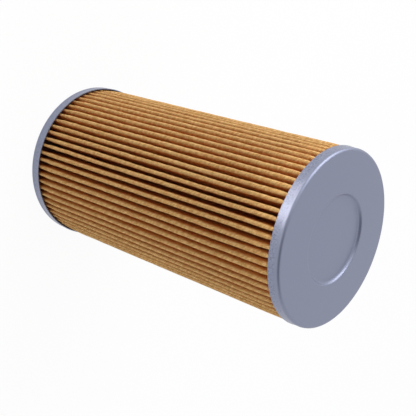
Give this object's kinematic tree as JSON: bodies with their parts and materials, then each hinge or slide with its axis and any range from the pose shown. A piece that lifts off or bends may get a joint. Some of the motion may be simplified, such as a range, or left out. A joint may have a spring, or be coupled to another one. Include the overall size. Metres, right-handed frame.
{
  "type": "transmission oil filter cartridge",
  "caption": "Cylindrical oil filter cartridge: pleated paper round a slotted centre tube, between a closed and an open pressed end cap with a rubber seal.",
  "frame": {"origin": "centre of the open end cap's rim, in the plane that the filter stands on", "axes": "+Z along the cartridge's axis, from the open end to the closed end; the paper's seam lies at 200 degrees round from +X"},
  "size_m": [0.1, 0.1, 0.2],
  "materials": {
    "cap_steel": "blue-grey galvanised sheet, satin",
    "filter_paper": "resin-cured amber filter paper, matte with fine fibres",
    "tube_steel": "zinc-plated sheet",
    "clip_steel": "tinned strip",
    "adhesive": "cured potting adhesive, dull gloss",
    "seal_rubber": "black nitrile rubber, matte"
  },
  "bodies": {
    "root": {"closed_end_cap": "cap_steel", "open_end_cap": "cap_steel", "pleated_media": "filter_paper", "seam_clip": "clip_steel", "centre_tube": "tube_steel", "potting_closed": "adhesive", "potting_open": "adhesive", "seal_grommet": "seal_rubber"}
  },
  "joints": []
}
